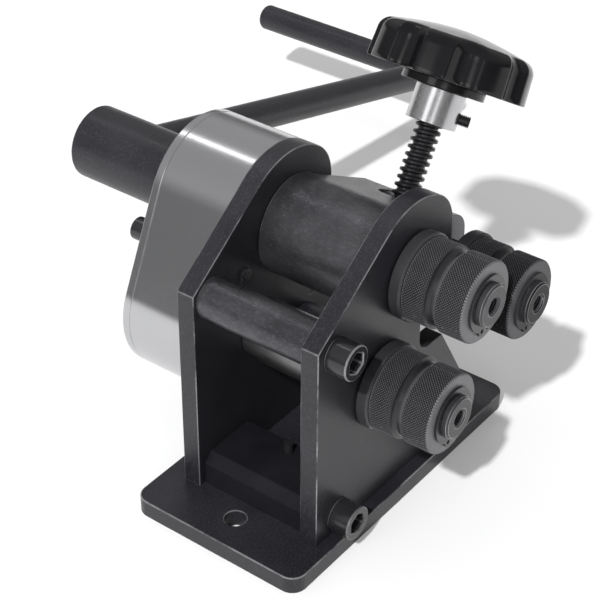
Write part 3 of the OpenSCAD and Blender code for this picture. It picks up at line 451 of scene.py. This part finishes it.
def thread_rows(z0, z1, pitch, root, crest, steps, stations):
    """Rows of points that follow a right-hand thread, cut flat at z0 and z1."""
    rows = []
    count = round((z1 - z0) / pitch * stations) + 2 * stations
    for k in range(count + 1):
        row = []
        for i in range(steps + 1):
            share = i / steps
            z = z0 - pitch + k * pitch / stations + pitch * share
            z = min(max(z, z0), z1)
            turn = (z / pitch - share) % 1.0
            away = abs(2 * turn - 1)
            lift = min(1.0, max(0.0, (away - THREAD_ROOT_SHARE) / THREAD_FLANK_SHARE))
            lift = lift * lift * (3 - 2 * lift)
            r = root + (crest - root) * lift
            angle = 2 * math.pi * share
            row.append((r * math.cos(angle), r * math.sin(angle), z))
        rows.append(row)
    return rows


def threaded_rod(bm, z0, z1, pitch, root, crest, steps=48, stations=16, socket=0.0):
    """A closed threaded rod, with a hexagon socket of a given width in its upper end."""
    rows = thread_rows(z0, z1, pitch, root, crest, steps, stations)
    made = grid(bm, rows, closed=False)
    bottom = bm.verts.new((0, 0, z0))
    for a, b in zip(made[0], made[0][1:]):
        bm.faces.new((b, a, bottom))
    end = made[-1]
    if socket:
        for z in (z1, z1 - socket * SOCKET_DEPTH):
            ring = []
            for i in range(steps + 1):
                angle = 2 * math.pi * i / steps
                away = (angle + math.pi / 6) % (math.pi / 3) - math.pi / 6
                r = socket / 2 / math.cos(away)
                ring.append(bm.verts.new((r * math.cos(angle), r * math.sin(angle), z)))
            for i in range(steps):
                bm.faces.new((end[i], end[i + 1], ring[i + 1], ring[i]))
            end = ring
    top = bm.verts.new((0, 0, end[0].co.z))
    for a, b in zip(end, end[1:]):
        bm.faces.new((a, b, top))


HOLE_R = 4.48 * MM
HOLE_CHAMFER = 0.9 * MM
HOLE_DEPTH = 16 * MM
HOLE_STEPS = 40


def threaded_hole(node, centre, front):
    """A thin threaded lining in the hole of a shaft's front end."""
    def make(bm):
        rows = thread_rows(HOLE_CHAMFER, HOLE_DEPTH, *HOLE_THREAD, HOLE_STEPS, 10)
        inner = grid(bm, rows, closed=False)
        outer = []
        for z in (HOLE_CHAMFER, HOLE_DEPTH):
            turns = [2 * math.pi * i / HOLE_STEPS for i in range(HOLE_STEPS + 1)]
            outer.append([bm.verts.new((HOLE_R * math.cos(a), HOLE_R * math.sin(a), z)) for a in turns])
        for wall, rim in zip(outer, (inner[0], inner[-1])):
            for i in range(HOLE_STEPS):
                bm.faces.new((wall[i], wall[i + 1], rim[i + 1], rim[i]))
        for i in range(HOLE_STEPS):
            bm.faces.new((outer[0][i], outer[0][i + 1], outer[1][i + 1], outer[1][i]))

    name = node + "_thread"
    finish_piece(name, mesh_of(name, make, along_y(centre, front)), BODY_OF[node], "shaft_steel", 50)


JOURNAL_R = 5 * MM
STEM_R = 6 * MM
SEAT_GAP = 0.04 * MM


def spindle():
    """The screw spindle with its coarse thread, journal below and stem above."""
    matrix = spindle_frame()
    low, high = along(matrix, "spindle")
    seat = along(matrix, "thrust_washer")[1]
    flange = along(matrix, "knob_flange")[0]
    ring_low, ring_high = along(matrix, "spindle_ring")

    def make(bm):
        threaded_rod(bm, seat + SEAT_GAP, flange, *SPINDLE_THREAD)
        groove_r = JOURNAL_R - 0.5 * MM
        lathe(bm, [(0, low), (JOURNAL_R - MM, low), (JOURNAL_R, low + MM), (JOURNAL_R, ring_low),
                   (groove_r, ring_low), (groove_r, ring_high), (JOURNAL_R, ring_high),
                   (JOURNAL_R, seat + MM)], 48)
        lathe(bm, [(STEM_R, flange - MM), (STEM_R, high - 0.5 * MM), (STEM_R - 0.5 * MM, high),
                   (0, high)], 48)

    mesh = mesh_of("spindle_thread", make, matrix)
    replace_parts(finish_piece("spindle_thread", mesh, "hand_screw", "spindle_steel", 50), "spindle")


def small_threads():
    """The collar's grub screw, the screw in the lower tie block and the threads in the shaft ends."""
    centre = middle("grub_screw")
    out = centre - HAND_POINT
    out = (out - HAND_AXIS * out.dot(HAND_AXIS)).normalized()
    side = HAND_AXIS.cross(out).normalized()
    matrix = axes_frame(centre, side, out.cross(side), out)
    low, high = along(matrix, "grub_screw")

    def grub(bm):
        threaded_rod(bm, low, high, *GRUB_THREAD, 36, 12, socket=3.0 * MM)

    mesh = mesh_of("grub_screw_thread", grub, matrix)
    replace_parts(finish_piece("grub_screw_thread", mesh, "hand_screw", "black_screws", 50), "grub_screw")

    low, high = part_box("block_screw")
    block_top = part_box("lower_tie_block")[1].z
    centre = middle("block_screw")
    matrix = Matrix.Translation((centre.x, centre.y, 0))

    def standing(bm):
        threaded_rod(bm, block_top - 4 * MM, high.z, *BLOCK_THREAD, 36, 12)
        shank_top = block_top - 3 * MM
        lathe(bm, [(0, low.z), (5 * MM, low.z), (2.5 * MM, low.z + 2.75 * MM), (2.5 * MM, shank_top),
                   (0, shank_top)], 36)

    mesh = mesh_of("block_screw_thread", standing, matrix)
    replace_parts(finish_piece("block_screw_thread", mesh, "frame", "black_screws", 50), "block_screw")

    for node, centre in (("drive_shaft", UPPER), ("driven_shaft", LOWER), ("third_stud", THIRD)):
        threaded_hole(node, centre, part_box(node)[0].y)


# Knob

LOBES = 8
KNOB_R = 41.5 * MM
FLUTE_DEPTH = 4.6 * MM
FLUTE_R = 9 * MM
FLUTE_SOFT = 3.4 * MM
KNOB_TURN = math.radians(38)
KNOB_WALL = 4 * MM
KNOB_BORE_R = 6.05 * MM
HUB_R = 15 * MM
HOLLOW = 12 * MM
RIM = 0.6 * MM
# The share of the height at which the straight side ends
SIDE_SHARE = 0.56
SIDE_STEPS = 8
TAPER = 0.8 * MM
SHOULDER = 7.5 * MM
SHOULDER_RISE = 0.95 * SHOULDER
SHOULDER_TURN = math.radians(76)
SHOULDER_STEPS = 13
DOME_STEPS = 18
# The share of a flute's depth that is left where the dome begins
DOME_DIP = 0.3


def lobe_dip(angle):
    """How far the knob's outline lies inside its round rim, at an angle."""
    pitch = 2 * math.pi / LOBES
    away = (angle - KNOB_TURN + pitch / 2) % pitch - pitch / 2
    reach = KNOB_R + FLUTE_R - FLUTE_DEPTH
    across = reach * math.sin(away)
    inside = FLUTE_R ** 2 - across ** 2
    cut = reach * math.cos(away) - math.sqrt(inside) if inside > 0 else KNOB_R + 4 * MM
    share = min(1.0, max(0.0, 0.5 + 0.5 * (cut - KNOB_R) / FLUTE_SOFT))
    return KNOB_R - (cut * (1 - share) + KNOB_R * share - FLUTE_SOFT * share * (1 - share))


def knob():
    """Star knob: lobes that run up into a smooth shallow dome, hollow below."""
    matrix = spindle_frame()
    rim, top = along(matrix, "star_knob")
    height = top - rim
    turns = [2 * math.pi * i / (LOBES * 40) for i in range(LOBES * 40)]
    dips = [lobe_dip(a) for a in turns]
    side = height * SIDE_SHARE

    def station(r, z, share):
        return [((r - d * share) * math.cos(a), (r - d * share) * math.sin(a), rim + z)
                for a, d in zip(turns, dips)]

    inner = KNOB_R - FLUTE_DEPTH - KNOB_WALL
    rows = [station(KNOB_BORE_R, 0, 0), station(HUB_R, 0, 0), station(HUB_R, HOLLOW, 0),
            station(inner, HOLLOW, 0), station(inner, 0, 0), station(KNOB_R - RIM, 0, 1),
            station(KNOB_R - RIM / 4, RIM / 4, 1), station(KNOB_R, RIM, 1)]
    for k in range(1, SIDE_STEPS + 1):
        share = k / SIDE_STEPS
        rows.append(station(KNOB_R - TAPER * share, RIM + (side - RIM) * share, 1))
    core = KNOB_R - TAPER - SHOULDER
    for k in range(1, SHOULDER_STEPS + 1):
        turn = SHOULDER_TURN * k / SHOULDER_STEPS
        r0 = core + SHOULDER * math.cos(turn)
        z0 = side + SHOULDER_RISE * math.sin(turn)
        rows.append(station(r0, z0, 1 - (1 - DOME_DIP) * (k / SHOULDER_STEPS) ** 1.6))
    for k in range(1, DOME_STEPS + 1):
        share = k / DOME_STEPS
        rows.append(station(max(r0 * (1 - share), PLAY),
                            z0 + (height - z0) * math.sin(share * math.pi / 2),
                            DOME_DIP * max(0.0, 1 - share * 3) ** 2))

    def make(bm):
        made = grid(bm, rows)
        bm.faces.new(made[-1])

    mesh = mesh_of("star_knob_moulded", make, matrix)
    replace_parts(finish_piece("star_knob_moulded", mesh, "hand_screw", "black_plastic", 50), "star_knob")


# CAD nodes that stay

BEVELS = {
    "base_plate": 0.6, "front_plate": 0.45, "rear_plate": 0.45, "upper_tie_rod": 0.4, "lower_tie_block": 0.5,
    "front_tie_screws": 0.7, "swing_arm": 0.5, "gear_housing": 0.4, "housing_cover": 0.5, "crank_hub": 0.5,
    "crank_arm": 0.4, "housing_screws": 0.5, "clamp_collar": 0.4, "knob_flange": 0.5,
    "roller_a_flange": 0.3, "roller_b_flange": 0.3, "roller_c_flange": 0.3,
    "retaining_ring_a": 0.15, "retaining_ring_b": 0.15, "retaining_ring_c": 0.15,
    "drive_shaft": 0.2, "driven_shaft": 0.2, "third_stud": 0.2, "housing_washers": 0.2,
}
WORN = ("base_plate", "front_plate", "rear_plate", "swing_arm", "upper_tie_rod",
        "front_tie_screws", "drive_shaft", "driven_shaft", "third_stud")


def dress_cad_nodes():
    """Materials for every CAD node, and small edge rounds where they show, rubbed bright on the plates."""
    for name, node in NODES.items():
        materials = node.data.materials
        materials.clear()
        materials.append(MATERIALS[material_of(name)])
        if node.hide_render or name not in BEVELS:
            continue
        weld = node.modifiers.new("weld", "WELD")
        weld.merge_threshold = 1e-6
        flat = node.modifiers.new("flat", "DECIMATE")
        flat.decimate_type = "DISSOLVE"
        flat.angle_limit = math.radians(0.3)
        edge = node.modifiers.new("edge", "BEVEL")
        edge.width = BEVELS[name] * MM
        edge.segments = 3
        edge.limit_method = "ANGLE"
        edge.angle_limit = math.radians(32)
        edge.use_clamp_overlap = False
        edge.miter_outer = "MITER_ARC"
        if name in WORN:
            materials.append(MATERIALS["worn_edge"])
            edge.material = 1
        normals = node.modifiers.new("normals", "WEIGHTED_NORMAL")
        normals.weight = 100
        normals.keep_sharp = False


# Stage

KEY_TRAVEL = Vector((0.178, 0.048, -0.192)).normalized()
WHITE_LIFT = 0.12
FLOOR_HALF = 40.0
# A point on the housing's round top, and the way that the lamp it mirrors as a thin line stands
STRIP_FROM = Vector((-0.0086, 0.062, 0.168))
STRIP_WAY = Vector((0.145, 0.56, 0.82))
# Grey of the room by the height of the direction: level with the floor at 0, straight up at 1
ROOM_GREYS = ((0.0, 0.1), (0.13, 0.2), (0.42, 0.5), (1.0, 0.44))


def floor():
    """A pale floor that shows white to the camera and keeps the object's shadow."""
    corners = ((-FLOOR_HALF, -FLOOR_HALF), (FLOOR_HALF, -FLOOR_HALF), (FLOOR_HALF, FLOOR_HALF),
               (-FLOOR_HALF, FLOOR_HALF))
    bm = bmesh.new()
    bm.faces.new([bm.verts.new((x, y, 0)) for x, y in corners])
    mesh = bpy.data.meshes.new("floor")
    bm.to_mesh(mesh)
    bm.free()
    plane = bpy.data.objects.new("floor", mesh)
    bpy.context.scene.collection.objects.link(plane)
    material = bpy.data.materials.new("pale_floor")
    material.use_nodes = True
    tree = material.node_tree
    tree.nodes.clear()

    def math_node(operation, first, second):
        made = tree.nodes.new("ShaderNodeMath")
        made.operation = operation
        for value, socket in ((first, made.inputs[0]), (second, made.inputs[1])):
            if isinstance(value, float):
                socket.default_value = value
            else:
                tree.links.new(value, socket)
        return made.outputs[0]

    output = tree.nodes.new("ShaderNodeOutputMaterial")
    diffuse = tree.nodes.new("ShaderNodeBsdfDiffuse")
    diffuse.inputs["Color"].default_value = (0.8, 0.8, 0.8, 1)
    glow = tree.nodes.new("ShaderNodeEmission")
    path = tree.nodes.new("ShaderNodeLightPath").outputs
    seen = math_node("MAXIMUM", path["Is Camera Ray"], path["Is Glossy Ray"])
    seen = math_node("MAXIMUM", seen, path["Is Transmission Ray"])
    tree.links.new(math_node("MULTIPLY", seen, WHITE_LIFT), glow.inputs["Strength"])
    both = tree.nodes.new("ShaderNodeAddShader")
    tree.links.new(diffuse.outputs[0], both.inputs[0])
    tree.links.new(glow.outputs[0], both.inputs[1])
    tree.links.new(both.outputs[0], output.inputs["Surface"])
    mesh.materials.append(material)


def lamp(name, kind, energy, way, glossy=True):
    """A lamp of a kind that shines along a way."""
    data = bpy.data.lights.new(name, kind)
    data.energy = energy
    made = bpy.data.objects.new(name, data)
    bpy.context.scene.collection.objects.link(made)
    made.rotation_mode = "QUATERNION"
    made.rotation_quaternion = way.to_track_quat("-Z", "Y")
    made.visible_glossy = glossy
    return made


def soft_box(name, energy, place, size):
    """A rectangular lamp at a place, turned to the middle of the object."""
    centre = (CAD_BOX[0] + CAD_BOX[1]) / 2
    made = lamp(name, "AREA", energy, centre - Vector(place))
    made.location = place
    made.data.shape = "RECTANGLE"
    made.data.size, made.data.size_y = size


def lights():
    """A key lamp for the shadow, three soft boxes and a grey room that is paler above."""
    lamp("key", "SUN", 3.0, KEY_TRAVEL, glossy=False).data.angle = math.radians(2.2)
    soft_box("left_box", 1.6, (-1.35, -0.95, 0.75), (0.5, 0.6))
    soft_box("strip", 1.4, STRIP_FROM + 2 * STRIP_WAY, (0.1, 0.8))
    soft_box("window", 2.6, (-1.376, 0.118, 0.816), (0.55, 0.8))
    world = bpy.data.worlds.new("studio")
    bpy.context.scene.world = world
    world.use_nodes = True
    tree = world.node_tree
    tree.nodes.clear()
    output = tree.nodes.new("ShaderNodeOutputWorld")
    room = tree.nodes.new("ShaderNodeBackground")
    place = tree.nodes.new("ShaderNodeTexCoord")
    split = tree.nodes.new("ShaderNodeSeparateXYZ")
    shade = tree.nodes.new("ShaderNodeValToRGB")
    tree.links.new(place.outputs["Generated"], split.inputs[0])
    tree.links.new(split.outputs["Z"], shade.inputs["Fac"])
    elements = shade.color_ramp.elements
    while len(elements) < len(ROOM_GREYS):
        elements.new(0.5)
    for element, (position, grey) in zip(elements, ROOM_GREYS):
        element.position = position
        element.color = (grey, grey, grey, 1)
    tree.links.new(shade.outputs["Color"], room.inputs["Color"])
    tree.links.new(room.outputs[0], output.inputs["Surface"])
    bpy.context.scene.view_settings.view_transform = "Standard"


# The photograph's camera, fitted to its straight edges and circles
CAMERA_PLACE = Vector((-0.5649, -0.40943, 0.59285))
CAMERA_TURNS = (-52.864, 35.294, 0.305)
CAMERA_LENS = 104.23


def camera():
    """The photograph's camera: where it stood, where it looked, its turn about that way and its lens."""
    azimuth, elevation, roll = (math.radians(v) for v in CAMERA_TURNS)
    back = Vector((math.sin(azimuth) * math.cos(elevation), -math.cos(azimuth) * math.cos(elevation),
                   math.sin(elevation)))
    right = (-back).cross(Vector((0, 0, 1))).normalized()
    up = back.cross(right)
    x_axis = right * math.cos(roll) + up * math.sin(roll)
    y_axis = up * math.cos(roll) - right * math.sin(roll)
    data = bpy.data.cameras.new("camera")
    data.sensor_width = 36
    data.lens = CAMERA_LENS
    data.clip_start, data.clip_end = 0.05, 20
    made = bpy.data.objects.new("camera", data)
    bpy.context.scene.collection.objects.link(made)
    made.matrix_world = axes_frame(CAMERA_PLACE, x_axis, y_axis, back)
    bpy.context.scene.camera = made


camera()
rollers()
spindle()
small_threads()
knob()
dress_cad_nodes()
floor()
lights()
